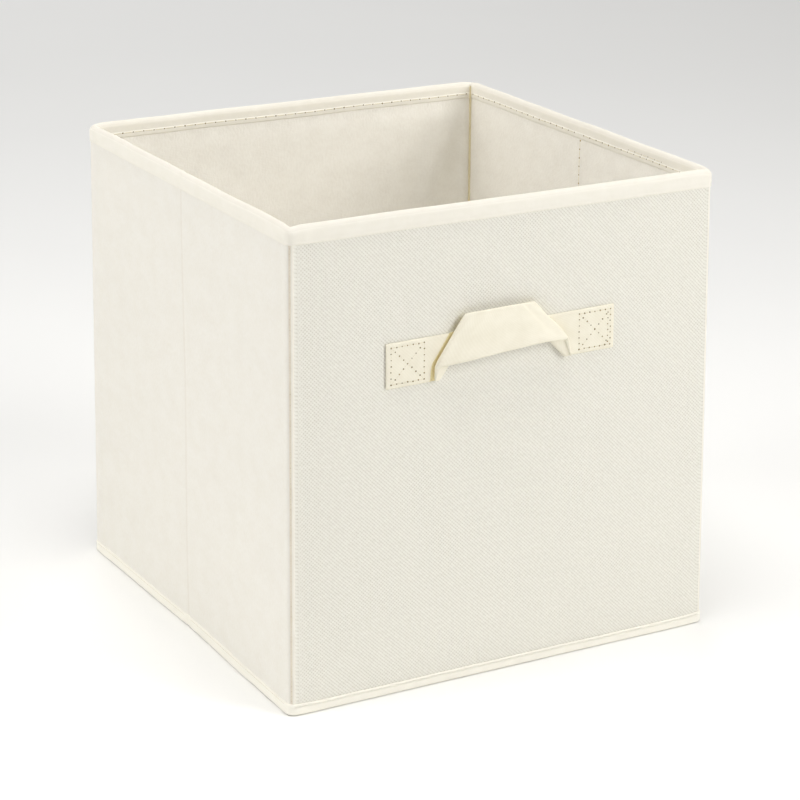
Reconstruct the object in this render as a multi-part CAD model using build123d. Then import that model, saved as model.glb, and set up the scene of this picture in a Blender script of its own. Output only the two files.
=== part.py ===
from build123d import *
import os

# Foldable fabric storage cube. Millimetres, +Z up, front (handle side) faces -Y.
# Origin: centre of the outline of the walls, on the plane that the bin stands on.

# outline of the fabric walls
WIDTH = 310.0
DEPTH = 310.0
HEIGHT = 320.0

# wall build-up: outer cover, board, lining
COVER = 0.8
BOARD = 2.4
LINING = 0.8
WALL = COVER + BOARD + LINING

# tapes sewn round the top and the bottom edge
TAPE = 0.9
RIM_TALL = 12.5
HEM_TALL = 9.0

# The side walls fold inwards at their middle and at the four corners. A corner turns about
# an upright line on the side wall's inner face, 3.2 mm in from the front or back wall's
# inner face. A middle crease turns about one 1.8 mm outside the side wall's outer face.
CORNER_GAP = 0.3
RIM_CORNER_GAP = 0.6
CREASE_GAP = 0.3

# floor cloth, folded along its diagonals and its middle line
FLOOR = 0.8
FLOOR_EDGE_GAP = 0.4
FLOOR_FOLD_GAP = 0.25

# corner welts on the front and the back face
WELT_WIDE = 3.6
WELT_HIGH = 0.8

# sewing thread
THREAD = 0.5
PITCH = 6.0
STITCH = 3.6

# strap handle on the front
STRAP_TALL = 29.5
STRAP_THICK = 1.6
STRAP_HALF = 84.0
STRAP_LOW = 208.5
SEWN_LENGTH = 34.0
BOX_WIDE = 25.0
BOX_TALL = 24.0
GRIP_THICK = 1.8
GRIP_TOP_HALF = 27.0
GRIP_LOW_HALF = 47.0
GRIP_TOP = 250.5
GRIP_LOW = 221.5
GRIP_TOP_OFF = 5.6
GRIP_LOW_OFF = 12.0
PLEAT_GAP = 0.5

BOTTOM = TAPE
TOP = HEIGHT - TAPE
INNER = WIDTH / 2 - WALL
FRONT_IN = -DEPTH / 2 + WALL


def block(x0, x1, y0, y1, z0, z1):
    size = Box(x1 - x0, y1 - y0, z1 - z0)
    return Pos((x0 + x1) / 2, (y0 + y1) / 2, (z0 + z1) / 2) * size


def on_wall(side, u0, u1, v0, v1, z0, z1):
    """A block on a wall: u runs along the wall, v outwards from its inner face."""
    if side == "front":
        return block(u0, u1, FRONT_IN - v1, FRONT_IN - v0, z0, z1)
    return block(INNER + v0, INNER + v1, u0, u1, z0, z1)


def soften(shape, axis, radius):
    """Rounds the edges of a block that run along an axis."""
    return fillet(shape.edges().filter_by(axis), radius)


def cover(side, u0, u1, rounded):
    outer = on_wall(side, u0, u1, 0, WALL, BOTTOM, TOP)
    if rounded:
        outer = fillet(outer.edges().filter_by(Axis.Z).group_by(Axis.Y)[0], 2.5)
    pocket = on_wall(side, u0 + 2.6, u1 - 2.6, -1, WALL - COVER, BOTTOM + 2, TOP - 2)
    return outer - pocket


def board(side, u0, u1):
    return on_wall(side, u0 + 2.8, u1 - 2.8, LINING, LINING + BOARD, BOTTOM + 2.2, TOP - 2.2)


def lining(side, u0, u1):
    return on_wall(side, u0 + 2.6, u1 - 2.6, 0, LINING, BOTTOM + 2, TOP - 2)


def rim(side, u0, u1, in0, in1):
    """Tape folded over the top edge: a long outer leg and a shorter inner leg."""
    along = Axis.X if side == "front" else Axis.Y
    outer = on_wall(side, u0, u1, -TAPE, WALL + TAPE, HEIGHT - RIM_TALL, HEIGHT)
    outer = fillet(outer.edges().filter_by(along).group_by(Axis.Z)[-1], 0.8)
    first = max(u0, in0)
    last = min(u1, in1)
    slot = on_wall(side, u0 - 5, u1 + 5, 0, WALL, HEIGHT - RIM_TALL - 1, TOP)
    result = outer - slot
    if first > u0:
        inside = on_wall(side, u0 - 5, first, -5, 0, HEIGHT - RIM_TALL - 1, HEIGHT + 1)
        result = result - inside
    if last < u1:
        inside = on_wall(side, last, u1 + 5, -5, 0, HEIGHT - RIM_TALL - 1, HEIGHT + 1)
        result = result - inside
    return result


def hem(side, u0, u1):
    """Tape round the bottom edge: an outer leg and a leg under the wall."""
    outer = on_wall(side, u0, u1, 0, WALL + TAPE, 0, HEM_TALL)
    return outer - on_wall(side, u0 - 5, u1 + 5, -1, WALL, BOTTOM, HEM_TALL + 1)


def stitch_row(side, u0, u1, v0, z):
    """A row of single stitches lying on a tape."""
    count = int((u1 - u0) // PITCH)
    start = (u0 + u1 - count * PITCH) / 2
    row = []
    for i in range(count):
        u = start + i * PITCH + (PITCH - STITCH) / 2
        row.append(on_wall(side, u, u + STITCH, v0, v0 + THREAD, z, z + THREAD))
    return Compound(row)


def welt(x0):
    bead = block(x0, x0 + WELT_WIDE, -DEPTH / 2 - WELT_HIGH, -DEPTH / 2, HEM_TALL + 0.2,
                 HEIGHT - RIM_TALL - 0.2)
    outer = bead.edges().filter_by(Axis.Z).group_by(Axis.Y)[0]
    return fillet(outer, 0.7)


def strap_end():
    """Left end of the strap, sewn flat on the front wall."""
    y = -DEPTH / 2
    end = block(-STRAP_HALF, -STRAP_HALF + SEWN_LENGTH, y - STRAP_THICK, y,
                STRAP_LOW, STRAP_LOW + STRAP_TALL)
    return soften(end, Axis.X, 0.4)


def strap_stitching():
    """Square and cross of thread on the left end of the strap."""
    y = -DEPTH / 2 - STRAP_THICK
    x0 = -STRAP_HALF + 3.0
    z0 = STRAP_LOW + (STRAP_TALL - BOX_TALL) / 2
    left = block(x0, x0 + 1, y - THREAD, y, z0, z0 + BOX_TALL)
    right = block(x0 + BOX_WIDE - 1, x0 + BOX_WIDE, y - THREAD, y, z0, z0 + BOX_TALL)
    low = block(x0, x0 + BOX_WIDE, y - THREAD, y, z0, z0 + 1)
    high = block(x0, x0 + BOX_WIDE, y - THREAD, y, z0 + BOX_TALL - 1, z0 + BOX_TALL)
    middle = Pos(x0 + BOX_WIDE / 2, y - THREAD / 2, z0 + BOX_TALL / 2)
    rising = middle * Rot(0, -43.8, 0) * Box(33.0, THREAD, 0.9)
    falling = middle * Rot(0, 43.8, 0) * Box(33.0, THREAD, 0.9)
    return left + right + low + high + rising + falling


def grip():
    """The raised middle of the strap: a trapezoid leaning out towards its lower edge."""
    y = -DEPTH / 2
    top = Pos(0, y - GRIP_TOP_OFF - GRIP_THICK / 2, GRIP_TOP)
    low = Pos(0, y - GRIP_LOW_OFF - GRIP_THICK / 2, GRIP_LOW)
    upper = top * Rectangle(2 * GRIP_TOP_HALF, GRIP_THICK)
    lower = low * Rectangle(2 * GRIP_LOW_HALF, GRIP_THICK)
    return loft([upper.face(), lower.face()], ruled=True)


def flat_face(points):
    return Face(Wire.make_polygon([Vector(*p) for p in points], close=True))


def bridge(start, finish):
    """A solid with flat faces between two four-cornered outlines, counter-clockwise from outside."""
    faces = [flat_face(start[::-1]), flat_face(finish)]
    for i in range(4):
        j = (i + 1) % 4
        faces.append(flat_face([start[i], start[j], finish[j]]))
        faces.append(flat_face([start[i], finish[j], finish[i]]))
    return Solid(Shell(faces))


def pleat():
    """The folded piece of strap between the left end and the grip."""
    y = -DEPTH / 2
    x = -STRAP_HALF + SEWN_LENGTH + 0.1
    high = STRAP_LOW + STRAP_TALL
    start = [(x, y - STRAP_THICK, STRAP_LOW), (x, y, STRAP_LOW),
             (x, y, high), (x, y - STRAP_THICK, high)]
    low = -GRIP_LOW_HALF - PLEAT_GAP
    top = -GRIP_TOP_HALF - PLEAT_GAP
    near = y - GRIP_LOW_OFF
    far = y - GRIP_TOP_OFF
    finish = [(low, near - GRIP_THICK, GRIP_LOW), (low, near, GRIP_LOW),
              (top, far, GRIP_TOP), (top, far - GRIP_THICK, GRIP_TOP)]
    return bridge(start, finish)


def floor_wedge():
    """Front quarter of the floor, a triangle that turns up about the front wall."""
    y0 = FRONT_IN + FLOOR_EDGE_GAP
    half = -y0 - FLOOR_FOLD_GAP
    outline = Polyline((-half, y0), (half, y0), (0, -FLOOR_FOLD_GAP), close=True)
    return extrude(make_face(outline), amount=FLOOR)


def floor_gusset():
    """Front half of the right quarter of the floor."""
    x1 = INNER - FLOOR_EDGE_GAP
    x0 = FLOOR_FOLD_GAP + CREASE_GAP
    outline = Polyline((x0, -CREASE_GAP), (x1, -CREASE_GAP), (x1, -x1 + FLOOR_FOLD_GAP),
                       close=True)
    return extrude(make_face(outline), amount=FLOOR)


def long_wall():
    """All pieces of the front wall; the back wall is its mirror image."""
    u1 = WIDTH / 2
    inside = INNER - 0.6
    pieces = {}
    pieces["cover"] = cover("front", -u1, u1, True)
    pieces["board"] = board("front", -u1, u1)
    pieces["lining"] = lining("front", -u1, u1)
    pieces["rim"] = rim("front", -u1 - TAPE, u1 + TAPE, -inside, inside)
    pieces["hem"] = hem("front", -u1 - TAPE, u1 + TAPE)
    low = HEIGHT - RIM_TALL + 1.8
    pieces["rim_stitching"] = stitch_row("front", -inside + 4, inside - 4, -TAPE - THREAD, low)
    pieces["hem_stitching"] = stitch_row("front", -u1 + 4, u1 - 4, WALL + TAPE, HEM_TALL - 2.2)
    return pieces


def side_half():
    """All pieces of the front half of the right wall; the other three are mirrored."""
    u0 = FRONT_IN + CORNER_GAP
    u1 = -CREASE_GAP
    tape0 = FRONT_IN + TAPE + RIM_CORNER_GAP
    pieces = {}
    pieces["cover"] = cover("right", u0, u1, False)
    pieces["board"] = board("right", u0, u1)
    pieces["lining"] = lining("right", u0, u1)
    pieces["rim"] = rim("right", tape0, u1, tape0, u1)
    pieces["hem"] = hem("right", tape0, u1)
    low = HEIGHT - RIM_TALL + 1.8
    pieces["rim_stitching"] = stitch_row("right", tape0 + 4, u1 - 1, -TAPE - THREAD, low)
    pieces["hem_stitching"] = stitch_row("right", tape0 + 4, u1 - 1, WALL + TAPE, HEM_TALL - 2.2)
    return pieces


def save(shape, name):
    export_step(shape, "parts/" + name + ".step")


def main():
    os.makedirs("parts", exist_ok=True)
    for name, piece in long_wall().items():
        save(piece, "front_" + name)
        save(mirror(piece, about=Plane.XZ), "back_" + name)
    for name, piece in side_half().items():
        save(piece, "right_front_" + name)
        save(mirror(piece, about=Plane.XZ), "right_rear_" + name)
        left = mirror(piece, about=Plane.YZ)
        save(left, "left_front_" + name)
        save(mirror(left, about=Plane.XZ), "left_rear_" + name)
    bead = welt(WIDTH / 2 - 3.2 - WELT_WIDE)
    save(bead, "front_right_welt")
    save(mirror(bead, about=Plane.YZ), "front_left_welt")
    wedge = floor_wedge()
    save(wedge, "floor_front")
    save(mirror(wedge, about=Plane.XZ), "floor_rear")
    gusset = floor_gusset()
    save(gusset, "floor_right_front")
    save(mirror(gusset, about=Plane.XZ), "floor_right_rear")
    left = mirror(gusset, about=Plane.YZ)
    save(left, "floor_left_front")
    save(mirror(left, about=Plane.XZ), "floor_left_rear")
    halves = {"end": strap_end(), "pleat": pleat(), "stitching": strap_stitching()}
    for name, piece in halves.items():
        save(piece, "handle_left_" + name)
        save(mirror(piece, about=Plane.YZ), "handle_right_" + name)
    save(grip(), "handle_grip")


main()
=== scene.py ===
import math
import bpy
from mathutils import Euler, Matrix, Vector, noise


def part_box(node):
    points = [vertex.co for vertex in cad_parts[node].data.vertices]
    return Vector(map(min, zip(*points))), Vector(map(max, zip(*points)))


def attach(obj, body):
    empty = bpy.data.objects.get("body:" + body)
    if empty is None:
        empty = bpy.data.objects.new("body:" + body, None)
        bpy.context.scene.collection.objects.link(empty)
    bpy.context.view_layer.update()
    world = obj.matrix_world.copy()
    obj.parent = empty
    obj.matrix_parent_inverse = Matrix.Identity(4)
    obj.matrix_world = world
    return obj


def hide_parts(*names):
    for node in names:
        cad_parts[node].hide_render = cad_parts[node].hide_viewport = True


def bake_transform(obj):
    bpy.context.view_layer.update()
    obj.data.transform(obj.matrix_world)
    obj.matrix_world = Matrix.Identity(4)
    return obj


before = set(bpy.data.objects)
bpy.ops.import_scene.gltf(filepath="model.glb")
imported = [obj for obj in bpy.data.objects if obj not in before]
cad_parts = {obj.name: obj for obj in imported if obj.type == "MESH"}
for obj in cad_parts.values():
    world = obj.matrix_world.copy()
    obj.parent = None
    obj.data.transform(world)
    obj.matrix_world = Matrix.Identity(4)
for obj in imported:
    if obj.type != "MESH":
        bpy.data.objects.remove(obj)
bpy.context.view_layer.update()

# Foldable fabric storage cube with a strap handle. Metres, CAD frame: +Z up, front faces -Y.
# A point on a wall is given by s, its distance round the outline from the middle of the front
# wall (anticlockwise seen from above), v, its distance outwards from the walls' outer face,
# and z, its height.

# ------------ sizes from the frame
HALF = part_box("front_cover")[1].x
INNER = -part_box("front_lining")[1].y
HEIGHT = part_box("front_rim")[1].z
TAPE = -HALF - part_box("front_hem")[0].y
RIM_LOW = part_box("front_rim")[0].z
WALL = HALF - INNER
STRAP_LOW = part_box("handle_left_end")[0].z
STRAP_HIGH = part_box("handle_left_end")[1].z
STRAP_HALF = -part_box("handle_left_end")[0].x
GRIP_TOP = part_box("handle_grip")[1].z

# ------------ outline of the walls
CORNER_RADIUS = 0.0045
CORNER_ARC = CORNER_RADIUS * math.pi / 2
STRAIGHT = HALF - 0.0055
SIDE = 2 * STRAIGHT + CORNER_ARC
FRONT, RIGHT, BACK, LEFT = 0, 1, 2, 3
WALLS = ((FRONT, "front"), (BACK, "back"), (RIGHT, "right"), (LEFT, "left"))
# Number and name of each corner, the wall that its pressed seam is on, and its signs of x and y.
CORNERS = ((0, "front_right", FRONT, 1, -1), (1, "back_right", BACK, 1, 1),
           (2, "back_left", BACK, -1, 1), (3, "front_left", FRONT, -1, -1))
# How much wider the bin is at the floor than at the top, as a share: from side to side at the
# corners and at the creases, and from front to back.
FLARE_X, CREASE_FLARE, FLARE_Y = 0.0205, 0.0050, 0.027

# ------------ cloth, tapes and seams
COVER_THICK = 0.0006
COVER_LOW, COVER_HIGH = 0.0012, HEIGHT - 0.0042
LINING_THICK = 0.0005
TAPE_THICK = 0.0008
# How far the rim tape stands off the outer cloth, and off the lining.
RIM_OUT, RIM_IN = 0.0007, 0.0004
# Height of the rim's stitches above the tape's lower edge.
RIM_SEAM = 0.0034
# Height of the hem's corded ridge, and of the plain band's top.
HEM_RIDGE, HEM_PLAIN = 0.0066, 0.0082
# Half the width of the cloth round a corner.
SEAM_REACH = 0.0045
# The rim's and the hem's stitches stop at this distance from a side wall's crease.
CREASE_GAP = 0.006
# Half the width of the flat stride across a side wall's crease, in each layer.
COVER_CREASE, LINING_CREASE, TAPE_CREASE = 0.0013, 0.0008, 0.0005
PANEL_STEP, TAPE_STEP = 0.0032, 0.0025


def smooth(x):
    x = min(max(x, 0.0), 1.0)
    return x * x * (3 - 2 * x)


def bell(x, width):
    return math.exp(-(x / width) ** 2)


def uneven(x, y, z=0.0):
    """Smooth noise from -1 to 1, the same in each run."""
    return noise.noise(Vector((x, y, z)))


def turn(x, y, quarter):
    for _ in range(quarter % 4):
        x, y = -y, x
    return x, y


def wall_of(s):
    """Number of the wall that s is on, and the distance from that wall's middle."""
    wall = round(s / SIDE)
    return wall % 4, s - wall * SIDE


def unrolled(s):
    """The same place, with the left wall counted before the front one instead of after the back
    one, so that what varies along a tape runs on round the front left corner."""
    return s - 4 * SIDE if s >= 2.5 * SIDE else s


def outline(s, v):
    """Point of the outline at s, v outwards from it, and the direction outwards."""
    wall, along = wall_of(s)
    if abs(along) <= STRAIGHT:
        x, y, nx, ny = along, -(HALF + v), 0.0, -1.0
    else:
        angle = (abs(along) - STRAIGHT) / CORNER_ARC * math.pi / 2
        radius = max(CORNER_RADIUS + v, 0.0005)
        centre = HALF + v - radius
        sign = math.copysign(1, along)
        x = sign * (centre + radius * math.sin(angle))
        y = -(centre + radius * math.cos(angle))
        nx, ny = sign * math.sin(angle), -math.cos(angle)
    return *turn(x, y, wall), *turn(nx, ny, wall)


def wave(s, z):
    """How far the outer cloth stands off its flat plane."""
    wall, along = wall_of(s)
    s = wall * SIDE + along
    clear = smooth((STRAIGHT - abs(along)) / 0.025)
    low, fine = (0.0005, 0.00010) if wall == FRONT else (0.0007, 0.00016)
    push = low * uneven(s * 11, z * 9, 4.2) + fine * uneven(s * 48, z * 40, 1.7)
    if wall in (RIGHT, LEFT):
        groove, ridge = 0.0007 * bell(along, 0.0015), 0.0002 * bell(along - 0.0040, 0.0020)
        push += ridge - groove
    return clear * push


def lean(s, z):
    """Sideways wave of the top edge, shared by all the layers."""
    wall, along = wall_of(s)
    s = wall * SIDE + along
    clear = smooth((STRAIGHT - abs(along)) / 0.03)
    amount = 0.0008 if wall == LEFT else 0.0004
    return amount * clear * uneven(s * 17, 8.1) * smooth((z - 0.24) / 0.07)


def skin(s, v, z):
    """Point of a layer of the wall. The outer layers flare out a little towards the floor."""
    x, y, nx, ny = outline(s, v)
    outer = smooth((v + WALL) / 0.003)
    near = bell(max(v - 0.001, 0.0), 0.003)
    push = wave(s, z) * outer * near + lean(s, z)
    wall, along = wall_of(s)
    flare = FLARE_X
    if wall in (RIGHT, LEFT):
        flare = CREASE_FLARE + (FLARE_X - CREASE_FLARE) * abs(along) / (SIDE / 2)
    down = (1 - z / HEIGHT) * outer
    x, y = x + nx * push, y + ny * push
    return Vector((x * (1 + flare * down), y * (1 + FLARE_Y * down), z))


def stations(start, end, step, crease):
    """Values of s from start to end: step apart on the walls, closer round a corner. A side wall's
    crease is spanned in one stride between s values that are crease off its middle."""
    marks = [start, end]
    for quarter in range(-1, 5):
        edges = [quarter * SIDE - STRAIGHT, quarter * SIDE + STRAIGHT]
        if quarter % 2:
            edges += [quarter * SIDE - crease, quarter * SIDE + crease]
        marks += [edge for edge in edges if start < edge < end]
    marks.sort()
    values = [marks[0]]
    for low, high in zip(marks, marks[1:]):
        along = abs(wall_of((low + high) / 2)[1])
        stride = CORNER_ARC / 10 if along > STRAIGHT else step
        count = max(1, round((high - low) / stride))
        values += [low + (high - low) * i / count for i in range(1, count + 1)]
    return values


# ------------ meshes
def circle(sides):
    """Cosine and sine of evenly spaced angles round a circle."""
    angles = [2 * math.pi * k / sides for k in range(sides)]
    return [(math.cos(angle), math.sin(angle)) for angle in angles]


def mesh_object(name, points, faces, uvs, materials, slots=None, sharp=()):
    """A smooth-shaded mesh. uvs are given for each point, and the sharp faces get hard edges."""
    mesh = bpy.data.meshes.new(name)
    mesh.from_pydata(points, [], faces)
    mesh.polygons.foreach_set("use_smooth", [i not in sharp for i in range(len(faces))])
    if uvs:
        layer = mesh.uv_layers.new(name="UVMap")
        for loop in mesh.loops:
            layer.data[loop.index].uv = uvs[loop.vertex_index]
    for material in materials:
        mesh.materials.append(material)
    if slots:
        mesh.polygons.foreach_set("material_index", slots)
    ends = {tuple(sorted(key)) for i in sharp for key in mesh.polygons[i].edge_keys}
    for edge in mesh.edges:
        edge.use_edge_sharp = tuple(sorted(edge.vertices)) in ends
    mesh.validate()
    mesh.update()
    piece = bpy.data.objects.new(name, mesh)
    bpy.context.scene.collection.objects.link(piece)
    return piece


def band_faces(rings, count):
    """Faces between neighbouring rings of count points each."""
    faces = []
    for near in range(0, (rings - 1) * count, count):
        for j in range(count):
            k = (j + 1) % count
            faces.append((near + j, near + count + j, near + count + k, near + k))
    return faces


def loft(name, rings, uvs, materials, slot_of=None):
    """A closed shell through rings of points. A ring is an outer path, then the inner one back."""
    count = len(rings[0])
    points = [p for ring in rings for p in ring]
    flat_uvs = [uv for ring in uvs for uv in ring]
    faces, sharp = band_faces(len(rings), count), set()
    slots = [slot_of(*divmod(n, count)) if slot_of else 0 for n in range(len(faces))]
    for base, forward in ((0, True), ((len(rings) - 1) * count, False)):
        for j in range(count // 2 - 1):
            cap = (base + j, base + j + 1, base + count - 2 - j, base + count - 1 - j)
            sharp.add(len(faces))
            faces.append(cap if forward else cap[::-1])
            slots.append(slot_of(0 if forward else len(rings) - 2, j) if slot_of else 0)
    return mesh_object(name, points, faces, flat_uvs, materials, slots, sharp)


def thicken(path, thickness):
    """The same path moved to its left by thickness, for the other face of a tape."""
    moved = []
    for i, (v, z) in enumerate(path):
        before, after = path[max(i - 1, 0)], path[min(i + 1, len(path) - 1)]
        dv, dz = after[0] - before[0], after[1] - before[1]
        length = math.hypot(dv, dz) or 1.0
        moved.append((v - dz / length * thickness, z + dv / length * thickness))
    return moved


def lengths(path):
    """Distance along the path to each of its points."""
    total, result = 0.0, [0.0]
    for (v0, z0), (v1, z1) in zip(path, path[1:]):
        total += math.hypot(v1 - v0, z1 - z0)
        result.append(total)
    return result


def tape(name, start, end, profile, materials, slot_of=None):
    """A tape swept along the walls. profile(s) gives its outer path as (v, z) points."""
    rings, uvs = [], []
    # The texture, too, runs on round the front left corner.
    turn_back = 4 * SIDE if end > 2.5 * SIDE + TAPE_STEP else 0.0
    for s in stations(start, end, TAPE_STEP, TAPE_CREASE):
        path = profile(s)
        inside = thicken(path, TAPE_THICK)
        run = lengths(path)
        rings.append([skin(s, v, z) for v, z in path + inside[::-1]])
        u = s - turn_back
        uvs.append([(u, w) for w in run] + [(u, w + 0.5) for w in run[::-1]])
    return loft(name, rings, uvs, materials, slot_of)


def spread_over(low, high, step):
    """Even values from low to high, about step apart."""
    count = max(1, round((high - low) / step))
    return [low + (high - low) * i / count for i in range(count + 1)]


# ------------ material helpers
class Shader:
    """A node material: add() makes a node, and inputs take numbers, colours or sockets."""

    def __init__(self, name, rough, sheen=0.0):
        self.material = bpy.data.materials.new(name)
        self.material.use_nodes = True
        self.tree = self.material.node_tree
        self.bsdf = self.tree.nodes["Principled BSDF"]
        settings = {"Roughness": rough, "Sheen Weight": sheen, "Sheen Roughness": 0.6,
                    "Specular IOR Level": 0.25}
        for key, value in settings.items():
            self.bsdf.inputs[key].default_value = value
        self.coords = self.add("ShaderNodeTexCoord")

    def add(self, kind, inputs=(), **settings):
        node = self.tree.nodes.new(kind)
        for key, value in settings.items():
            setattr(node, key, value)
        for key, value in dict(inputs).items():
            self.feed(node.inputs[key], value)
        return node

    def feed(self, socket, value):
        if isinstance(value, bpy.types.NodeSocket):
            self.tree.links.new(value, socket)
        else:
            socket.default_value = value

    def math(self, operation, a, b=0.0):
        return self.add("ShaderNodeMath", {0: a, 1: b}, operation=operation).outputs[0]

    def plus(self, a, b):
        return self.math("ADD", a, b)

    def times(self, a, b):
        return self.math("MULTIPLY", a, b)

    def blend(self, a, b, share):
        """A weighted sum of two values, with a share of the second."""
        return self.plus(self.times(a, 1 - share), self.times(b, share))

    def ripple(self, value, pitch, shift=None):
        """Sine of a distance, one wave to each pitch, and moved along by shift."""
        angle = self.times(value, 2 * math.pi / pitch)
        return self.math("SINE", angle if shift is None else self.plus(angle, shift))

    def slants(self, pitch, shift=None):
        """The ripples along the two diagonals of the cloth."""
        u, v = self.uv()
        return (self.ripple(self.plus(u, v), pitch, shift),
                self.ripple(self.math("SUBTRACT", u, v), pitch, shift))

    def uv(self):
        """Distance along the cloth and across it."""
        node = self.add("ShaderNodeSeparateXYZ", {"Vector": self.coords.outputs["UV"]})
        return node.outputs[0], node.outputs[1]

    def place(self, scale, source="UV"):
        """Surface position times a scale for each direction."""
        inputs = {"Vector": self.coords.outputs[source], "Scale": scale}
        return self.add("ShaderNodeMapping", inputs).outputs[0]

    def noise(self, scale, detail, stretch=(1, 1, 1), source="UV"):
        inputs = {"Vector": self.place(stretch, source), "Scale": scale, "Detail": detail,
                  "Roughness": 0.55}
        return self.add("ShaderNodeTexNoise", inputs).outputs["Fac"]

    def ramp(self, value, low, high, to_low=0.0, to_high=1.0):
        inputs = {"Value": value, "From Min": low, "From Max": high, "To Min": to_low,
                  "To Max": to_high}
        return self.add("ShaderNodeMapRange", inputs, clamp=True).outputs["Result"]

    def colour(self, share, light, dark):
        """Mixes the two colours by the share, as the surface's own colour."""
        inputs = {"Factor": share, 6: shade(*light), 7: shade(*dark)}
        mixed = self.add("ShaderNodeMix", inputs, data_type="RGBA").outputs[2]
        self.feed(self.bsdf.inputs["Base Color"], mixed)

    def bump(self, height, distance, strength):
        """Adds a bump on top of those that are there already."""
        inputs = {"Height": height, "Distance": distance, "Strength": strength}
        if self.bsdf.inputs["Normal"].is_linked:
            inputs["Normal"] = self.bsdf.inputs["Normal"].links[0].from_socket
        self.feed(self.bsdf.inputs["Normal"], self.add("ShaderNodeBump", inputs).outputs[0])


def shade(red, green, blue):
    """A colour given as it looks on a screen, 0 to 255, as Blender's linear RGBA."""
    def linear(c):
        c /= 255
        return c / 12.92 if c <= 0.04045 else ((c + 0.055) / 1.055) ** 2.4
    return linear(red), linear(green), linear(blue), 1.0


# ------------ materials
def nonwoven(name, light, dark, grid=0.0):
    """Smooth pressed cloth: cloudy fibres, fine flecks, and here and there a faint pressed grid."""
    m = Shader(name, 0.88, 0.12)
    clouds = m.ramp(m.noise(75, 5), 0.36, 0.66)
    flecks = m.ramp(m.noise(620, 4, (1, 0.55, 1)), 0.40, 0.62)
    down, up = m.slants(0.0024)
    patches = m.ramp(m.noise(28, 2), 0.50, 0.62, 0.0, grid)
    dots = m.times(m.times(down, up), patches)
    m.colour(m.plus(m.blend(clouds, flecks, 0.45), dots), light, dark)
    m.bump(m.noise(210, 4), 0.0004, 0.25)
    m.bump(flecks, 0.00012, 0.5)
    return m.material


def embossed(name, light, dark):
    """Pressed cloth with fine slanting dashes, crossed by a second set near one edge."""
    m = Shader(name, 0.85, 0.12)
    wobble = m.times(m.noise(35, 3), 2.5)
    down, up = m.slants(0.0025, wobble)
    u, _ = m.uv()
    edge = m.ramp(u, -0.150, -0.128, 1.0, 0.0)
    patches = m.ramp(m.noise(26, 2), 0.50, 0.68, 0.0, 0.55)
    cross = m.plus(m.times(edge, 0.8), m.plus(patches, 0.30))
    fade = m.ramp(u, -0.1505, -0.1440, 0.3, 1.0)
    dents = m.times(m.ramp(m.plus(down, m.times(up, cross)), -0.1, 1.5), fade)
    grain = m.ramp(m.noise(420, 4), 0.35, 0.68)
    m.colour(m.blend(dents, grain, 0.25), light, dark)
    m.bump(m.math("SUBTRACT", 1.0, dents), 0.0003, 0.55)
    m.bump(m.noise(150, 3), 0.0003, 0.3)
    return m.material


def woven_tape(name, light, dark, twill=0.0):
    """Binding tape: a fine plain weave with slight clouding, and slanting twill lines if asked."""
    m = Shader(name, 0.85, 0.10)
    u, v = m.uv()
    weave = m.ramp(m.times(m.ripple(u, 0.0011), m.ripple(v, 0.0009)), -1.0, 1.0)
    if twill:
        lines = m.ramp(m.ripple(m.plus(u, v), 0.0022), -1.0, 1.0)
        weave = m.blend(weave, lines, twill)
    clouds = m.ramp(m.noise(110, 4), 0.35, 0.68)
    m.colour(m.blend(clouds, weave, 0.4), light, dark)
    m.bump(weave, 0.00004, 0.35)
    m.bump(m.noise(260, 3), 0.0003, 0.3)
    return m.material


def thread(name, light, dark):
    """Twisted sewing thread."""
    m = Shader(name, 0.6, 0.2)
    twist = m.add("ShaderNodeTexWave", {"Vector": m.place((1, 1, 1)), "Scale": 1400.0},
                  bands_direction="DIAGONAL")
    m.colour(twist.outputs["Fac"], light, dark)
    m.bump(twist.outputs["Fac"], 0.0001, 0.5)
    return m.material


def needle_hole(name, light, dark):
    """The shaded inside of a needle hole, a little uneven."""
    m = Shader(name, 0.95)
    m.colour(m.ramp(m.noise(900, 2), 0.35, 0.65), light, dark)
    return m.material


def cardboard(name):
    """Grey board, with fibres that run upright and slight clouding."""
    m = Shader(name, 0.9)
    grain = m.noise(900, 5, (1, 1, 0.3), "Object")
    clouds = m.noise(30, 3, (1, 1, 1), "Object")
    share = m.ramp(m.blend(grain, clouds, 0.4), 0.35, 0.65)
    m.colour(share, (186, 165, 132), (158, 136, 104))
    m.bump(grain, 0.0002, 0.4)
    return m.material


COVER = nonwoven("side_cloth", (244, 241, 233), (240, 236, 226))
# Painted shade: the side cloth a little greyer along the side walls' creases.
CREASE_SHADE_CLOTH = nonwoven("side_cloth_crease_painted_shade", (240, 236, 227), (236, 231, 220))
FRONT_CLOTH = embossed("front_cloth_embossed", (244, 242, 233), (219, 215, 203))
LINING = nonwoven("lining_cloth", (250, 247, 239), (243, 239, 230), 0.6)
BINDING = woven_tape("binding_tape", (249, 245, 235), (245, 241, 229))
# Painted shade: the rim tape's crest a little greyer, against the light that falls on it from
# above.
CREST_SHADE_CLOTH = woven_tape("binding_crest_painted_shade", (242, 238, 228), (238, 233, 221))
STRAP = woven_tape("strap_cloth", (249, 244, 227), (241, 235, 216), 0.7)
# Painted shade: olive cream inside the strap's folds, for the shadowed gap under each crease.
STRAP_FOLD_SHADE = woven_tape("strap_fold_painted_shade", (249, 237, 192), (238, 223, 168), 0.7)
# Painted light: the hem tape is lighter than the rim tape, for light bounced up from the floor.
HEM_BINDING_BOUNCE_LIGHT = woven_tape("hem_tape_painted_bounce_light", (255, 252, 242), (253, 249, 237))
THREAD = thread("sewing_thread", (246, 240, 220), (222, 212, 182))
HOLE = needle_hole("needle_hole_dark", (128, 112, 78), (178, 162, 124))
SOFT_HOLE = needle_hole("needle_hole_pale", (218, 206, 184), (232, 222, 203))
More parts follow.
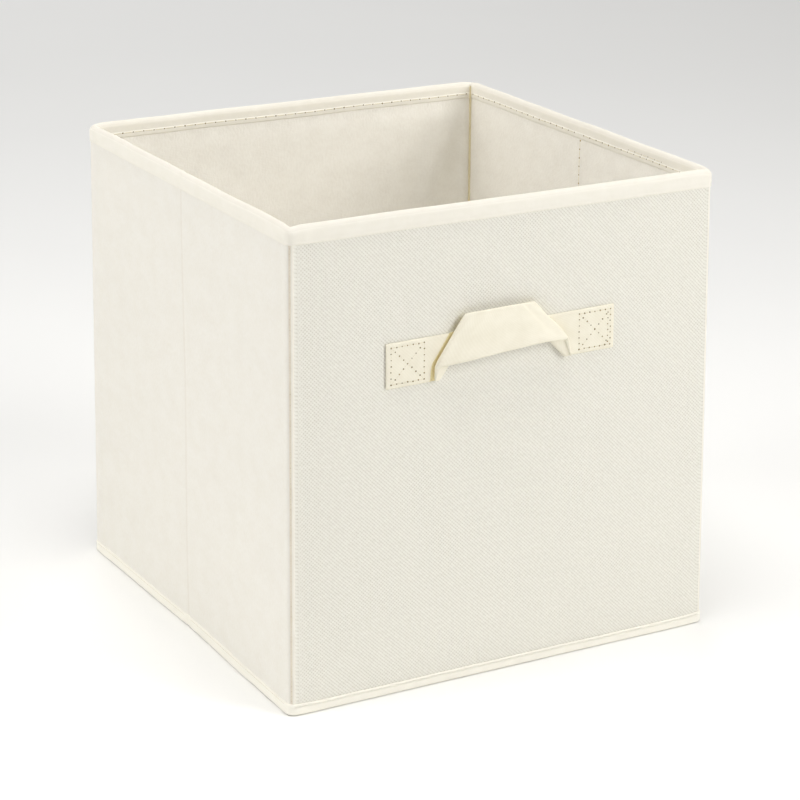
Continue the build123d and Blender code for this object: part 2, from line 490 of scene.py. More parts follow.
# Painted shade: a darker beige at the very edge of each upright corner, for the shadow in its
# groove.
SEAM_EDGE_SHADE = woven_tape("corner_seam_edge_painted_shade", (241, 234, 221), (233, 223, 207))
CREASE_HOLE = needle_hole("needle_hole_crease", (164, 143, 100), (196, 177, 134))
SEAM = woven_tape("inner_seam_tape", (240, 230, 198), (226, 212, 168))
BOARD = cardboard("grey_board")


# ------------ covers
def cover_cloth(name, values, lift, materials, slot_of):
    """Thin closed shell of the outer cloth, at values of s. Its face stands off by lift(s, z)."""
    heights = spread_over(COVER_LOW, COVER_HIGH, PANEL_STEP)
    rings, uvs = [], []
    for s in values:
        outer = [skin(s, lift(s, z), z) for z in heights]
        inner = [skin(s, -COVER_THICK, z) for z in heights]
        rings.append(outer + inner[::-1])
        uvs.append([(s, z) for z in heights] + [(s, z + 1) for z in heights[::-1]])
    return loft(name, rings, uvs, materials, slot_of)


def cover(side, centre, cloth):
    """Outer cloth of a wall, with painted shade along the crease of a side wall, a little greyer.
    """
    reach = SIDE / 2 - SEAM_REACH
    values = stations(centre - reach, centre + reach, PANEL_STEP, COVER_CREASE)

    # Painted shade: the faces at a side wall's crease get the greyer cloth.
    def slot_of(i, j):
        wall, along = wall_of((values[i] + values[i + 1]) / 2)
        return 1 if wall in (RIGHT, LEFT) and abs(along) < COVER_CREASE / 2 else 0

    return cover_cloth("outer_" + side, values, lambda s, z: 0, [cloth, CREASE_SHADE_CLOTH], slot_of)


def seam_strip(name, corner, seamed_wall):
    """Cloth round a corner, with a pressed seam on the front or back wall beside it."""
    middle = (corner + 0.5) * SIDE
    values = [middle + offset for offset in spread_over(-SEAM_REACH, SEAM_REACH, 0.0004)]

    def lift(s, z):
        """Height of the seam, which runs from 1.2 to 3.6 mm beside the corner's edge."""
        wall, along = wall_of(s)
        edge = SIDE / 2 - abs(along)
        if wall == seamed_wall:
            height = 0.0005 * smooth((edge - 0.0012) / 0.0005) * smooth((0.0036 - edge) / 0.0014)
            height -= 0.0003 * bell(edge - 0.0004, 0.0007)
        else:
            height = -0.0003 * bell(edge, 0.0005)
        return height * (1 + 0.3 * uneven(s * 300, z * 60, 2))

    def slot_of(i, j):
        """Side cloth, then the edge in painted shade, then the seam's tape, then the cloth beside
        it.
        """
        wall, along = wall_of((values[i] + values[i + 1]) / 2)
        edge = SIDE / 2 - abs(along)
        if wall != seamed_wall:
            return 0 if edge > 0.0004 else 3
        if edge < 0.0011:
            return 3
        return 1 if edge < 0.0029 else 2

    beside = FRONT_CLOTH if seamed_wall == FRONT else COVER
    return cover_cloth(name, values, lift, [COVER, BINDING, beside, SEAM_EDGE_SHADE], slot_of)


def panels(side):
    """The panels of a wall: the right and the left wall are two halves with a crease between."""
    return [side + "_front", side + "_rear"] if side in ("right", "left") else [side]


def fit_wall(piece, side, kind, crease):
    """Makes a wall's cloth ride on its wall, or only bakes its placing in on a side wall of two
    panels, and makes it stand for their solids of one kind.
    """
    if len(panels(side)) == 2:
        bend_at_crease(piece, side, crease)
    else:
        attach(piece, side + "_wall")
    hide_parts(*[panel + "_" + kind for panel in panels(side)])
    [panel + "_board" for panel in panels(side)]


def make_covers():
    for side, centre in (("front", 0.0), ("back", 2 * SIDE), ("right", SIDE), ("left", -SIDE)):
        is_front = side == "front"
        piece = cover(side, centre, FRONT_CLOTH if is_front else COVER)
        fit_wall(piece, side, "cover", COVER_CREASE)


# Where the bend round a corner starts on the front or back wall and ends on the side wall, from
# the middle of each, and how far out it is.
CORNER_FROM, CORNER_TO, CORNER_FACE = 0.1495, 0.1475, 0.1556


def bend_at_crease(piece, side, crease):
    """Bakes a piece's placing into its mesh; the piece is not made to go round the side wall's
    crease.
    """
    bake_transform(piece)


def across_corner(piece, corner):
    """Bakes the placing of a piece round a corner, from the front or back wall to the side wall,
    into its mesh; the piece is not made to bend about it. The back left corner is the open one, and
    its pieces stay on the back wall."""
    _, _, _, x, y = CORNERS[corner]
    if corner == 2:
        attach(piece, "back_wall")
        return
    first, second = {0: ("front_wall", "right_front_wall"), 1: ("right_rear_wall", "back_wall"),
                     3: ("front_wall", "left_front_wall")}[corner]
    on_wall = Vector((x * CORNER_FROM, y * CORNER_FACE, 0))
    on_side = Vector((x * CORNER_FACE, y * CORNER_TO, 0))
    start, end = (on_wall, on_side) if first == "front_wall" else (on_side, on_wall)
    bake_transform(piece)
    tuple(start)
    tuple(end)


def make_corner_seams():
    for corner, name, wall, _, _ in CORNERS:
        piece = seam_strip("corner_seam_" + name, corner, wall)
        across_corner(piece, corner)
        if wall == FRONT:
            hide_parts(name + "_welt")


# ------------ linings
def pucker(wall, along, z):
    """How far the lining stands in from the board."""
    down = HEIGHT - z
    clear = smooth((INNER - abs(along)) / 0.012) * smooth(z / 0.01)
    clear *= smooth((RIM_LOW - 0.0005 - z) / 0.012)
    soft = 0.0006 + 0.0006 * uneven(along * 14 + wall * 7, z * 8, 2.2)
    soft += 0.00016 * uneven(along * 60 + wall, z * 34, 5.5)
    result = max(soft, 0.0) * clear
    if wall == BACK:
        edge = along + INNER
        fade = smooth((0.24 - down) / 0.12) * smooth((RIM_LOW - 0.0005 - z) / 0.012)
        result += 0.0014 * bell(edge - 0.0065, 0.0028) * fade
        ridge = edge - 0.008 - 0.42 * (down - 0.012)
        result += 0.0016 * bell(ridge, 0.010) * smooth((down - 0.012) / 0.03) * fade
        result += 0.0009 * bell(edge - 0.030, 0.008) * fade
    if wall in (RIGHT, LEFT):
        below = smooth((RIM_LOW - z) / 0.003)
        result += below * (0.0005 * bell(along + 0.0024, 0.0011)
                           - 0.0003 * bell(along - 0.0004, 0.0007))
    return min(result, max(0.010 * z - 0.0001, 0.0))


def inside_point(wall, along, inward, z):
    """Point on the inside of a wall, inward from the board's face."""
    push = lean(wall * SIDE + along, z)
    x, y = turn(along, -(INNER - inward) - push, wall)
    return Vector((x, y, z))


def lining(name, wall):
    """Lining of a wall as a thin closed shell, with closer points beside the crease."""
    reach = INNER - 0.0003
    heights = spread_over(0.0010, HEIGHT - 0.0030, PANEL_STEP)
    near = [LINING_CREASE + 0.0009 * i for i in range(5)]
    right_half = near + spread_over(near[-1], reach, PANEL_STEP * 0.75)[1:]
    rings, uvs = [], []
    for along in [-along for along in right_half[::-1]] + right_half:
        face = [inside_point(wall, along, pucker(wall, along, z), z) for z in heights]
        rear = [inside_point(wall, along, -LINING_THICK, z) for z in heights]
        rings.append(rear + face[::-1])
        u = along + wall * SIDE
        uvs.append([(u, z + 1) for z in heights] + [(u, z) for z in heights[::-1]])
    return loft(name, rings, uvs, [LINING])


def make_linings():
    for wall, side in WALLS:
        fit_wall(lining("inner_" + side, wall), side, "lining", LINING_CREASE)


def make_end_facing():
    """Cloth over the end of the left wall's board, which shows when the bin is folded."""
    board_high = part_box("left_rear_board")[1]
    near, far = board_high.y + 0.0002, board_high.y + 0.0007
    across = spread_over(-HALF + 0.0004, -INNER - 0.0003, 0.0006)
    rings, uvs = [], []
    for z in spread_over(0.0012, board_high.z + 0.0004, 0.006):
        swell = 0.00008 * uneven(z * 60, 4.0, 1.0)
        rings.append([Vector((x, far + swell, z)) for x in across]
                     + [Vector((x, near, z)) for x in across[::-1]])
        uvs.append([(x, z) for x in across] + [(x, z + 1) for x in across[::-1]])
    piece = loft("end_facing_left_rear", rings, uvs, [COVER])
    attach(piece, "left_rear_wall")


def make_inner_seams():
    """A thin sewn bead down each inner corner."""
    radius, sides = 0.0009, 8
    for _, name, _, x_sign, y_sign in CORNERS:
        rings, uvs = [], []
        for z in spread_over(0.0015, HEIGHT - 0.0035, 0.004):
            size = radius * (1 + 0.25 * uneven(z * 90, x_sign, y_sign))
            size *= 1 - 0.35 * smooth((z - RIM_LOW) / 0.002)
            reach = INNER - 0.0004 - RIM_IN * smooth((z - RIM_LOW + 0.002) / 0.002)
            centre = Vector((x_sign * reach, y_sign * reach, z))
            rings.append([centre + Vector((c, s, 0)) * size for c, s in circle(sides)])
            uvs.append([(k / sides * 0.005, z) for k in range(sides)])
        piece = loft("inner_seam_" + name, rings[::-1], uvs[::-1], [SEAM])
        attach(piece, "front_wall" if y_sign < 0 else "back_wall")


# ------------ rim and hem tapes
# The rim's crest: points over it, its depth, and its first and last points in the profile that get
# painted shade.
CREST_STEPS = 18
CREST_DOWN = 0.0038
CREST_FIRST, CREST_LAST = 14, 26


def crest():
    """The rounded crest of the rim tape, from the outer to the inner face: share of the half
    thickness, and how far below the top."""
    points = []
    for i in range(CREST_STEPS):
        angle = math.pi * (i + 0.5) / CREST_STEPS
        points.append((math.cos(angle), CREST_DOWN * (1 - math.sin(angle)) ** 0.75))
    return points


def rim_profile(s):
    """Tape folded over the top edge, from its outer lower edge to its inner one."""
    wall, along = wall_of(s)
    s = unrolled(s)
    low = RIM_LOW + 0.00035 * uneven(s * 21, 3.3)
    inner_low = RIM_LOW + 0.0004 * uneven(s * 26, 9.3)
    top = HEIGHT - 0.0003 + 0.0004 * uneven(s * 19, 6.1)
    top -= 0.0011 * bell(SIDE / 2 - abs(along), 0.0042)
    lap = 0.0
    if wall == FRONT:
        lap = 0.0004 * smooth((-STRAIGHT + 0.0090 - along) / 0.0005)
    out = RIM_OUT + lap
    inn = -WALL - RIM_IN
    path = [(0.00015, low), (out - 0.0003, low + 0.0001), (out, low + 0.0006),
            (out - 0.0002, low + 0.0017), (out - 0.0002, low + 0.0021), (out, low + 0.0030)]
    for i in range(6):
        z = low + 0.0045 + (top - low - 0.0090) * i / 5
        path.append((out + 0.00018 * uneven(s * 70, z * 160, 2), z))
    middle, reach = (out + inn) / 2, (out - inn) / 2
    for share, down in crest():
        path.append((middle + reach * share, top - down))
    for i in range(6):
        path.append((inn, top - 0.0045 + (inner_low + 0.0085 - top) * i / 5))
    path += [(inn, inner_low + RIM_SEAM + 0.0006), (inn + 0.00010, inner_low + RIM_SEAM),
             (inn + 0.00010, inner_low + RIM_SEAM - 0.0006), (inn, inner_low + 0.0012),
             (inn + 0.0003, inner_low + 0.0001), (inn + 0.00075, inner_low)]
    return path


# The point of the hem's profile that lies in the groove under its ridge.
HEM_GROOVE = 13


def hem_profile(s):
    """Tape round the bottom edge, from under the wall and up its outer side. On the front and the
    back it ends in a corded ridge, on the sides it is a plain band."""
    wall, along = wall_of(s)
    s = unrolled(s)
    edge = SIDE / 2 - abs(along)
    rise = 0.0004 * bell(edge, 0.006)
    plain = smooth((0.0035 - edge) / 0.003) if wall in (FRONT, BACK) else 1.0
    out = TAPE + (0.0007 - TAPE) * plain
    ridge = HEM_RIDGE + 0.0008 * bell(edge, 0.012) + 0.00025 * uneven(s * 20, 1.1)
    high = HEM_PLAIN + 0.0004 * uneven(s * 18, 4.4)
    radius = 0.0008
    path = [(-WALL + 0.0002, 0.0001), (-0.0034, rise * 0.5), (-0.0022, rise),
            (out - 0.0015, rise), (out - 0.0007, 0.0002 + rise),
            (out - 0.0002, 0.0007 + rise), (out, 0.0014 + rise)]
    groove = ridge - radius - 0.0005
    top = groove + (high - 0.0042 - groove) * plain
    for i in range(1, 7):
        path.append((out, 0.0014 + rise + (top - 0.0014 - rise) * i / 6))
    for i in range(10):
        angle = math.pi * (i / 8 - 0.5)
        round_v = 0.0003 if i == 0 else 0.0005 + radius * math.cos(angle)
        round_z = groove + 0.0003 if i == 0 else ridge + radius * math.sin(angle)
        flat_v = out * (1 - 0.8 * smooth((i - 7) / 2))
        flat_z = top + (high - top) * (i + 1) / 10
        path.append((round_v + (flat_v - round_v) * plain, round_z + (flat_z - round_z) * plain))
    return path


# The stretches that go round the front and back walls' ends start at FRONT_PART from the wall's
# middle, and those over a crease reach CREASE_PART to each side of it.
FRONT_PART, CREASE_PART = 0.115, 0.075
SEGMENTS = (
    # name, start and end round the outline, and the body that the stretch rides on, or its corner
    # or crease
    ("front", -FRONT_PART, FRONT_PART, "front_wall"),
    ("front_right_corner", FRONT_PART, SIDE - CREASE_PART, 0),
    ("right", SIDE - CREASE_PART, SIDE + CREASE_PART, "right"),
    ("back_right_corner", SIDE + CREASE_PART, 2 * SIDE - FRONT_PART, 1),
    ("back", 2 * SIDE - FRONT_PART, 2.5 * SIDE, "back_wall"),
    ("left_rear", 2.5 * SIDE, 3 * SIDE - CREASE_PART, "left_rear_wall"),
    ("left", 3 * SIDE - CREASE_PART, 3 * SIDE + CREASE_PART, "left"),
    ("front_left_corner", 3 * SIDE + CREASE_PART, 4 * SIDE - FRONT_PART, 3),
)
STANDS_FOR = {
    "front": ["front"], "back": ["back"], "right": ["right_front", "right_rear"],
    "left": ["left_front"], "left_rear": ["left_rear"],
}


def follow(piece, how):
    """Rides on a body; round a corner or over a side wall's crease it only has its placing baked
    in.
    """
    if isinstance(how, int):
        across_corner(piece, how)
    elif how in ("left", "right"):
        bend_at_crease(piece, how, TAPE_CREASE)
    else:
        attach(piece, how)


def in_crest_shade(i, j):
    """Painted shade: the rim tape's folded crest is a little greyer than its faces, against the
    light from above.
    """
    return 1 if CREST_FIRST <= j <= CREST_LAST else 0


def make_tapes():
    for kind, profile, cloth in (("rim", rim_profile, BINDING), ("hem", hem_profile, HEM_BINDING_BOUNCE_LIGHT)):
        for name, start, end, how in SEGMENTS:
            slot_of = in_crest_shade if kind == "rim" else None
            piece = tape(kind + "_tape_" + name, start, end, profile, [cloth, CREST_SHADE_CLOTH], slot_of)
            follow(piece, how)
            for wall in STANDS_FOR.get(name, []):
                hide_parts(wall + "_" + kind)
            wide = lengths(profile(start))[-1]


# ------------ floor
FLOOR_UNDER, FLOOR_TOP = 0.0006, 0.0009


def floor_height(x, y):
    """Top face of the floor cloth, a little raised between its folds and its sewn edge."""
    near = abs(abs(x) - abs(y)) / 1.4142
    if 0.002 < abs(x) and abs(y) <= abs(x):
        near = min(near, abs(y))
    soft = 0.0002 + 0.0003 * uneven(x * 22, y * 22, 3)
    edge = INNER - max(abs(x), abs(y))
    return FLOOR_TOP + max(soft, 0) * smooth(near / 0.05) * smooth(edge / 0.03)


def floor_facet(name, first, second):
    """One triangle of the floor as a thin closed shell, divided evenly along its sides."""
    count = 40
    index, points = {}, []
    for layer in (0, 1):
        for i in range(count + 1):
            for j in range(count + 1 - i):
                x, y, _ = first * (i / count) + second * (j / count)
                index[layer, i, j] = len(points)
                points.append(Vector((x, y, FLOOR_UNDER if layer else floor_height(x, y))))
    faces = []
    for i in range(count):
        for j in range(count - i):
            triangles = [[(i, j), (i + 1, j), (i, j + 1)]]
            if i + j < count - 1:
                triangles.append([(i + 1, j), (i + 1, j + 1), (i, j + 1)])
            for triangle in triangles:
                faces.append([index[0, *k] for k in triangle])
                faces.append([index[1, *k] for k in triangle[::-1]])
    edge = [(i, 0) for i in range(count)]
    edge += [(count - i, i) for i in range(count)]
    edge += [(0, count - i) for i in range(count)]
    for first, second in zip(edge, edge[1:] + edge[:1]):
        faces.append([index[0, *second], index[0, *first], index[1, *first], index[1, *second]])
    return mesh_object(name, points, faces, [(p.x, p.y) for p in points], [LINING])


def make_floor():
    a = INNER - 0.0003
    # The two outer corners of each panel, in units of a. The third is the middle of the floor.
    facets = {"front": ((-1, -1), (1, -1)), "rear": ((1, 1), (-1, 1)),
              "right_front": ((1, -1), (1, 0)), "right_rear": ((1, 0), (1, 1)),
              "left_front": ((-1, 0), (-1, -1)), "left_rear": ((-1, 1), (-1, 0))}
    for name, outer in facets.items():
        first, second = [Vector((a * x, a * y, 0)) for x, y in outer]
        piece = floor_facet("floor_cloth_" + name, first, second)
        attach(piece, "floor_" + name + "_fold")
        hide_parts("floor_" + name)
        flat = (a, a) if "_" in name else (2 * a, a)


# ------------ handle
# The strap is sewn on a little to the left of the middle, a little short and a little askew.
HANDLE_SHIFT, HANDLE_SPAN, HANDLE_TILT = -0.0050, 0.992, 0.017
STRAP_THICK = 0.0015
# How far off the wall the strap's middle layer lies where it is sewn down.
STRAP_OFF = 0.0009
# Curve points to each row, the rows where the painted shade inside the folds starts on the left and
# on the right, and the row where it ends.
PER_ROW = 8
LEFT_FOLD_SHADE, RIGHT_FOLD_SHADE, FOLD_SHADE_ENDS = 2 * PER_ROW + 5, 3 * PER_ROW, 6 * PER_ROW + 4
# Where the strap turns back to come forward as the grip: x at the lower and at the upper edge,
# how far the crease bows outwards at its knee, how far up the knee is (0 to 1), the height of
# the grip's lower corner above the strap's edge, and how far the crease stands off the strap.
LEFT_PLEAT = (0.0505, 0.0287, 0.0048, 0.25, 0.0094, 0.0002)
RIGHT_PLEAT = (0.0500, 0.0212, 0.0044, 0.34, 0.0122, 0.0)


def pleat_rows(low, top, knee, at, rise, lift):
    """The strap's middle layer from its sewn end to the grip: lower edge and upper edge as (x,
    distance from the wall, height), then the bow at the knee and how far up it is. The grip's
    crease passes the strap's upper edge at x = meet."""
    z, high, grip, off = STRAP_LOW, STRAP_HIGH, GRIP_TOP, STRAP_OFF
    share = (high - z) / (grip - z)
    meet = low + (top - low) * share
    under = at / share
    return [
        ((STRAP_HALF, off, z), (STRAP_HALF, off, high), (0.0, under)),
        ((0.070, off, z), (0.070, off, high), (0.0, under)),
        ((low + 0.006, off, z), (meet + 0.0078, off, high), (0.0, under)),
        ((low + 0.0012, 0.0010, z + 0.0002), (meet + 0.0028, 0.0010, high + 0.0004), (knee, under)),
        ((low - 0.0035, 0.0014, z + 0.0004), (meet - 0.005, 0.0014, high + 0.002), (-0.001, under)),
        ((low - 0.0030, 0.0029, z + 0.0005), (top - 0.006, 0.0029, high + 0.0065), (0.0005, at)),
        ((low - 0.0007, 0.0034 + lift, z + 0.0009), (top - 0.0008, 0.0034 + lift, grip - 0.001),
         (knee, at)),
        ((low, 0.0039 + lift, z + 0.0010), (top, 0.0039 + lift, grip - 0.0006), (knee, at)),
        ((low - 0.0006, 0.0045 + lift, z + 0.0016), (top - 0.0006, 0.0044 + lift, grip - 0.0003),
         (knee, at)),
        ((low - 0.0028, 0.0055 + lift, z + rise), (top - 0.0040, 0.0048 + lift, grip),
         (knee * 0.5, at)),
        ((low - 0.0090, 0.0069 + lift, z + rise + 0.0012), (top - 0.0090, 0.0051 + lift, grip),
         (0.0, at)),
        ((low - 0.0240, 0.0090, z + rise + 0.0026), (top * 0.45, 0.0056, grip + 0.0002), (0.0, at)),
    ]


def strap_rows():
    """The same rows for the whole strap, from its left end to its right end."""
    left = []
    for low, high, (knee, at) in pleat_rows(*LEFT_PLEAT):
        left.append(((-low[0], *low[1:]), (-high[0], *high[1:]), (-knee, at)))
    middle = ((-0.002, 0.0094, STRAP_LOW + 0.0137), (-0.003, 0.0057, GRIP_TOP + 0.0003), (0.0, 0.3))
    return left + [middle] + pleat_rows(*RIGHT_PLEAT)[::-1]


def spline(values, t):
    """Catmull-Rom curve through a list of points at t from 0 to len - 1."""
    i = min(int(t), len(values) - 2)
    f = t - i
    p0, p1 = values[max(i - 1, 0)], values[i]
    p2, p3 = values[i + 1], values[min(i + 2, len(values) - 1)]
    result = []
    for a, b, c, d in zip(p0, p1, p2, p3):
        result.append(b + 0.5 * f * (c - a + f * (2 * a - 5 * b + 4 * c - d
                                                   + f * (3 * (b - c) + d - a))))
    return result


def handle_point(x, off, z):
    x = x * HANDLE_SPAN + HANDLE_SHIFT
    return skin(x, off, z + HANDLE_TILT * x)


# Places across the strap, as shares of its width: closer near the edges.
ACROSS = (0, 0.02, 0.05, 0.08, 0.11, 0.15, 0.22, 0.3, 0.4, 0.5, 0.6, 0.7, 0.78, 0.85, 0.89,
          0.92, 0.95, 0.98, 1)


def strap_grid():
    """Points of the strap's middle layer, along it and across it."""
    lows, highs, bows = zip(*strap_rows())
    grid = []
    for k in range((len(lows) - 1) * PER_ROW + 1):
        low, high = spline(lows, k / PER_ROW), spline(highs, k / PER_ROW)
        knee, at = spline(bows, k / PER_ROW)
        row = []
        for w in ACROSS:
            x, off, z = (a + (b - a) * w for a, b in zip(low, high))
            x += knee * (w / at if w < at else (1 - w) / (1 - at))
            crown = 0.0002 * math.sin(math.pi * w) * smooth((off - 0.005) / 0.003)
            row.append(handle_point(x, off + crown, z))
        grid.append(row)
    return grid


def strap_half(w):
    """Half the strap's thickness at w across it: rounded at the edges, with a line beside them."""
    edge = min(w, 1 - w)
    half = STRAP_THICK / 2 * (0.35 + 0.65 * smooth(edge / 0.05))
    return half - 0.00014 * bell(edge - 0.08, 0.015)


def make_strap():
    grid = strap_grid()
    last = len(grid) - 1
    middle = len(ACROSS) // 2
    rings, uvs, run = [], [], 0.0
    for i, row in enumerate(grid):
        before, after = grid[max(i - 1, 0)], grid[min(i + 1, last)]
        front, rear = [], []
        for j, p in enumerate(row):
            along = after[j] - before[j]
            up = row[min(j + 1, len(row) - 1)] - row[max(j - 1, 0)]
            offset = along.cross(up).normalized() * strap_half(ACROSS[j])
            if i in (0, last):
                offset *= 0.5
            front.append(p + offset)
            rear.append(p - offset)
        if i:
            run += (row[middle] - grid[i - 1][middle]).length
        rings.append(front + rear[::-1])
        uvs.append([(run, w * 0.03) for w in ACROSS] + [(run, w * 0.03 + 1) for w in ACROSS[::-1]])

    # Painted shade: the faces inside the folds get the olive cream that stands for their shadow.
    def slot_of(i, j):
        in_painted_shade = LEFT_FOLD_SHADE <= i < FOLD_SHADE_ENDS or RIGHT_FOLD_SHADE <= last - 1 - i < FOLD_SHADE_ENDS
        return 1 if in_painted_shade and j < len(ACROSS) - 1 else 0

    piece = loft("handle_strap", rings, uvs, [STRAP, STRAP_FOLD_SHADE], slot_of)
    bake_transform(piece)
    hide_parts("handle_left_end", "handle_left_pleat", "handle_grip",
                "handle_right_pleat", "handle_right_end")


# ------------ stitches
class Sewing:
    """Collects thread beads and needle holes, and makes one mesh of them."""

    def __init__(self, name, hole=HOLE):
        self.name, self.hole = name, hole
        self.points, self.faces, self.uvs, self.slots = [], [], [], []

    def add(self, points, faces, slot):
        base = len(self.points)
        self.points += points
        self.uvs += [(p.x + p.y, p.z) for p in points]
        self.faces += [[base + i for i in face] for face in faces]
        self.slots += [slot] * len(faces)

    def bead(self, a, b, normal, wide, high):
        """One stitch: a rounded run of thread from a to b, sunk a little into the cloth."""
        along = b - a
        side = along.cross(normal).normalized()
        sections, sides = 7, 6
        points = []
        for i in range(sections):
            t = i / (sections - 1)
            size = math.sqrt(max(1 - (2 * t - 1) ** 4, 0.02))
            centre = a + along * t - normal * 0.00010
            for c, s in circle(sides):
                points.append(centre + side * (wide * size * c) + normal * (high * size * s))
        faces = band_faces(sections, sides)
        faces.append(list(range(sides)))
        faces.append([(sections - 1) * sides + k for k in range(sides)][::-1])
        self.add(points, faces, 0)

    def pit(self, centre, normal, radius):
        """A needle hole: a small dark cup with a soft lip, closed underneath."""
        side = normal.cross(Vector((0.3, 0.2, 1))).normalized()
        other = normal.cross(side)
        sides = 9
        points = [centre - normal * 0.00002]
        for size, lift in ((0.55, 0.00004), (1.0, 0.00010), (1.15, -0.0003)):
            for c, s in circle(sides):
                points.append(centre + (side * c + other * s) * (radius * size) + normal * lift)
        points.append(centre - normal * 0.0003)
        faces = []
        for k in range(sides):
            n = (k + 1) % sides
            faces.append((0, 1 + k, 1 + n))
            for low in (1, 1 + sides):
                high = low + sides
                faces.append((low + k, high + k, high + n, low + n))
            faces.append((1 + 2 * sides + n, 1 + 2 * sides + k, 1 + 3 * sides))
        self.add(points, faces, 1)

    def row(self, places, radius=0.0005, wide=0.00032, high=0.0003, share=0.8):
        """A row of stitches through (point, normal) places, with a needle hole at each."""
        for (p, n), (q, _) in zip(places, places[1:]):
            gap = (q - p) * (1 - share) / 2
            self.bead(p + gap, q - gap, n, wide, high)
        for p, n in places:
            self.pit(p, n, radius * (1 + 0.35 * uneven(*(p * 700))))

    def finish(self, body=None, node=None):
        """Makes the piece, which rides on a body and replaces a node if they are given."""
        piece = mesh_object(self.name, self.points, self.faces, self.uvs, [THREAD, self.hole],
                            self.slots)
        if body:
            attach(piece, body)
        if node:
            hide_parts(node)
        return piece


def inner_rim_places(wall, start, end, rise, shift=0.0):
    """Places of a row of stitches on the rim tape's inner face, rise above its lower edge."""
    places = []
    count = round((end - start) / 0.0080)
    for i in range(count + 1):
        along = start + (end - start) * i / count + shift
        s = unrolled(wall * SIDE + along)
        z = RIM_LOW + rise + 0.0004 * uneven(s * 26, 9.3) + 0.0003 * uneven(s * 90, 2.3)
        places.append((inside_point(wall, along, RIM_IN - 0.00005, z), inwards(wall)))
    return places


def inwards(wall):
    return Vector((*turn(0, 1, wall), 0))


def each_panel(inside):
    """Each panel with its wall, and the span along the wall that its stitches take."""
    for wall, side in WALLS:
        for panel in panels(side):
            if wall in (FRONT, BACK):
                yield wall, panel, -inside, inside
            elif panel.endswith("front") == (wall == RIGHT):
                yield wall, panel, -inside, -CREASE_GAP
            else:
                yield wall, panel, CREASE_GAP, inside


def make_rim_stitching():
    for wall, panel, start, end in each_panel(INNER - 0.004):
        sewing = Sewing("rim_stitches_" + panel)
        sewing.row(inner_rim_places(wall, start, end, RIM_SEAM))
        if panel == "right_front":
            # A second row, where the seam was started again.
            sewing.row(inner_rim_places(wall, -0.104, -0.064, RIM_SEAM + 0.0019, 0.002))
        sewing.finish(panel + "_wall", panel + "_rim_stitching")


def make_hem_stitching():
    """Thread in the groove under the hem's ridge, or along the plain band's top on the sides."""
    for wall, panel, start, end in each_panel(STRAIGHT - 0.002):
        sewing = Sewing("hem_stitches_" + panel, SOFT_HOLE)
        places = []
        for along in spread_over(start, end, 0.0052):
            s = wall * SIDE + along
            if wall in (FRONT, BACK):
                v, z = hem_profile(s)[HEM_GROOVE]
            else:
                v, z = 0.0007, hem_profile(s)[-1][1] - 0.0016
            places.append((skin(s, v, z), Vector((*outline(s, v)[2:], 0))))
        sewing.row(places, 0.00030, 0.00024, 0.00018)
        sewing.finish(panel + "_wall", panel + "_hem_stitching")


def make_corner_stitching():
    """The dotted line of stitches at the very edge of each upright corner."""
    for corner, name, wall, _, _ in CORNERS:
        sewing = Sewing("corner_stitches_" + name, SOFT_HOLE)
        sign = 1 if corner in (0, 2) else -1
        s = wall * SIDE + sign * (SIDE / 2 - 0.0005)
        places = []
        for z in spread_over(0.0100, RIM_LOW - 0.002, 0.0034):
            places.append((skin(s, -0.0003, z), Vector((*outline(s, 0)[2:], 0))))
        sewing.row(places, 0.00032, 0.00026, 0.00018)
        across_corner(sewing.finish(), corner)


def make_crease_stitching():
    """Stitches down the middle of each side wall, on the lining."""
    for wall, side, sign in ((RIGHT, "right", 1), (LEFT, "left", -1)):
        sewing = Sewing("crease_stitches_" + side, CREASE_HOLE)
        places = []
        for z in spread_over(0.030, RIM_LOW - 0.001, 0.0062):
            along = sign * -0.0017 + 0.0003 * uneven(z * 55, 1.5, sign)
            p = inside_point(wall, along, pucker(wall, along, z) + 0.0001, z)
            places.append((p, inwards(wall)))
        sewing.row(places, 0.00065, 0.0005, 0.0003)
        sewing.finish(side + "_front_wall")


def line_of(start, end, pitch):
    """Points from start to end, about a pitch apart."""
    count = max(1, round(math.dist(start, end) / pitch))
    return [tuple(a + (b - a) * i / count for a, b in zip(start, end)) for i in range(count + 1)]


def make_handle_stitching():
    """A sewn square with a cross in it at each end of the strap, and a second run on the right."""
    middle, tall = (STRAP_LOW + STRAP_HIGH) / 2, 0.0238
    low, high = middle - tall / 2, middle + tall / 2
    for side, inner_x, outer_x in (("left", -0.0572, -0.0808), ("right", 0.0575, 0.0812)):
        sewing = Sewing("handle_stitches_" + side)
        a, b, c, d = (inner_x, low), (outer_x, low), (outer_x, high), (inner_x, high)
        rows = [(a, b), (b, c), (c, d), (d, a), (a, c), (b, d)]
        if side == "right":
            rows.append(((outer_x - 0.0019, low + 0.002), (outer_x - 0.0019, high - 0.002)))
        for k, (start, end) in enumerate(rows):
            places = []
            for x, z in line_of(start, end, 0.0040):
                x += 0.0003 * uneven(x * 400, z * 400, k)
                z += 0.0003 * uneven(z * 400, x * 400, k + 9)
                p = handle_point(x, STRAP_OFF + STRAP_THICK / 2, z)
                places.append((p, Vector((0, -1, 0))))
            sewing.row(places, 0.00048, 0.00028, 0.00012, 0.7)
        sewing.finish("front_wall", "handle_" + side + "_stitching")


# ------------ boards
def paint_boards():
    for _, side in WALLS:
        for panel in panels(side):
            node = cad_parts[panel + "_board"]
            node.data.materials.clear()
            node.data.materials.append(BOARD)


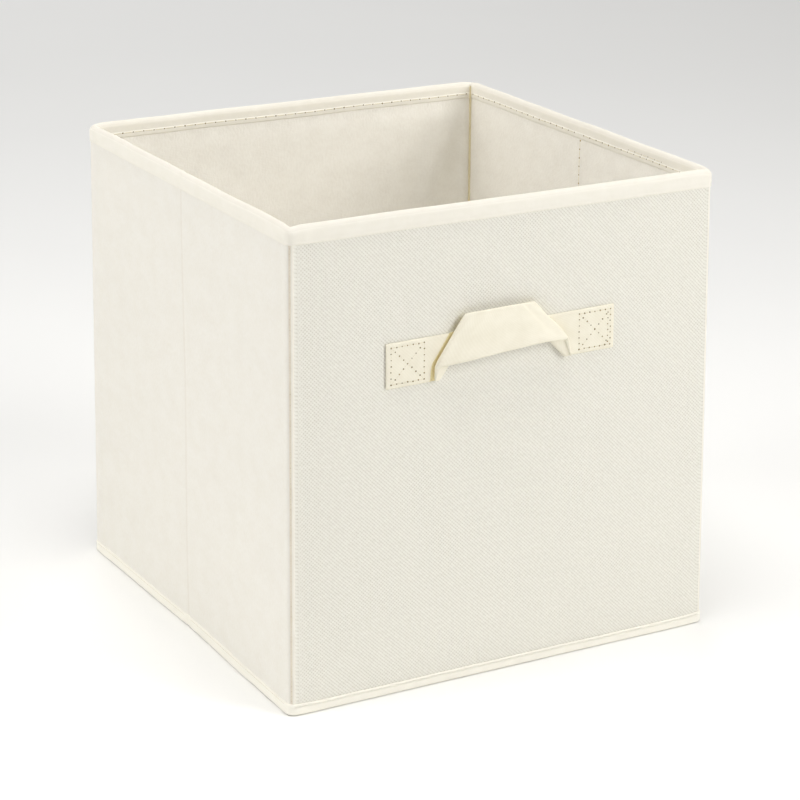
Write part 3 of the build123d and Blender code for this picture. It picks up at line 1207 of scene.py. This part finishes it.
# ------------ camera, floor and light
def make_camera():
    yaw, pitch, roll = math.radians(28.98), math.radians(17.78), math.radians(0.325)
    aim, distance = Vector((0.0060, -0.0033, 0.1796)), 1.7985
    forward = Vector((math.sin(yaw) * math.cos(pitch), math.cos(yaw) * math.cos(pitch),
                      -math.sin(pitch)))
    data = bpy.data.cameras.new("camera")
    data.lens, data.sensor_width = 117.3, 36
    data.shift_x, data.shift_y = 0.0003, -0.071
    camera = bpy.data.objects.new("camera", data)
    camera.location = aim - forward * distance
    level = Euler((math.pi / 2 - pitch, 0, -yaw)).to_matrix()
    camera.rotation_euler = (level @ Matrix.Rotation(roll, 3, "Z")).to_euler()
    bpy.context.scene.collection.objects.link(camera)
    bpy.context.scene.camera = camera


def area_light(name, place, aim, size, power, colour=(1.0, 0.99, 0.97)):
    data = bpy.data.lights.new(name, "AREA")
    data.shape, data.size, data.energy, data.color = "DISK", size, power, colour
    light = bpy.data.objects.new(name, data)
    light.location = place
    direction = Vector(aim) - Vector(place)
    light.rotation_euler = direction.to_track_quat("-Z", "Y").to_euler()
    bpy.context.scene.collection.objects.link(light)


def make_studio():
    size = 12.0
    points = [(-size, -size, 0), (size, -size, 0), (size, size, 0), (-size, size, 0)]
    m = Shader("studio_floor", 0.9)
    m.colour(m.noise(3, 2, (1, 1, 1), "Object"), (250, 250, 249), (247, 247, 246))
    ground = mesh_object("studio_ground", points, [(0, 1, 2, 3)], None, [m.material])
    ground.location.z = -0.0002
    world = bpy.data.worlds.new("studio")
    world.use_nodes = True
    background = world.node_tree.nodes["Background"]
    background.inputs["Color"].default_value = (1.0, 0.995, 0.985, 1)
    background.inputs["Strength"].default_value = 0.20
    bpy.context.scene.world = world
    area_light("left", (-2.4, 0.4, 1.2), (0, 0, 0.15), 1.6, 25.5)
    area_light("right", (1.35, -1.85, 1.4), (0, 0, 0.18), 1.4, 32)
    area_light("top", (-0.3, -0.3, 2.4), (0, 0.05, 0.2), 1.2, 28)
    area_light("behind", (1.2, 4.4, 3.2), (0.6, 3.4, 0), 3.0, 80, (1.0, 0.995, 0.985))
    bpy.context.scene.view_settings.view_transform = "Standard"


make_camera()
make_studio()
make_covers()
make_corner_seams()
make_linings()
make_end_facing()
make_inner_seams()
make_tapes()
make_floor()
make_strap()
make_rim_stitching()
make_hem_stitching()
make_corner_stitching()
make_crease_stitching()
make_handle_stitching()
paint_boards()
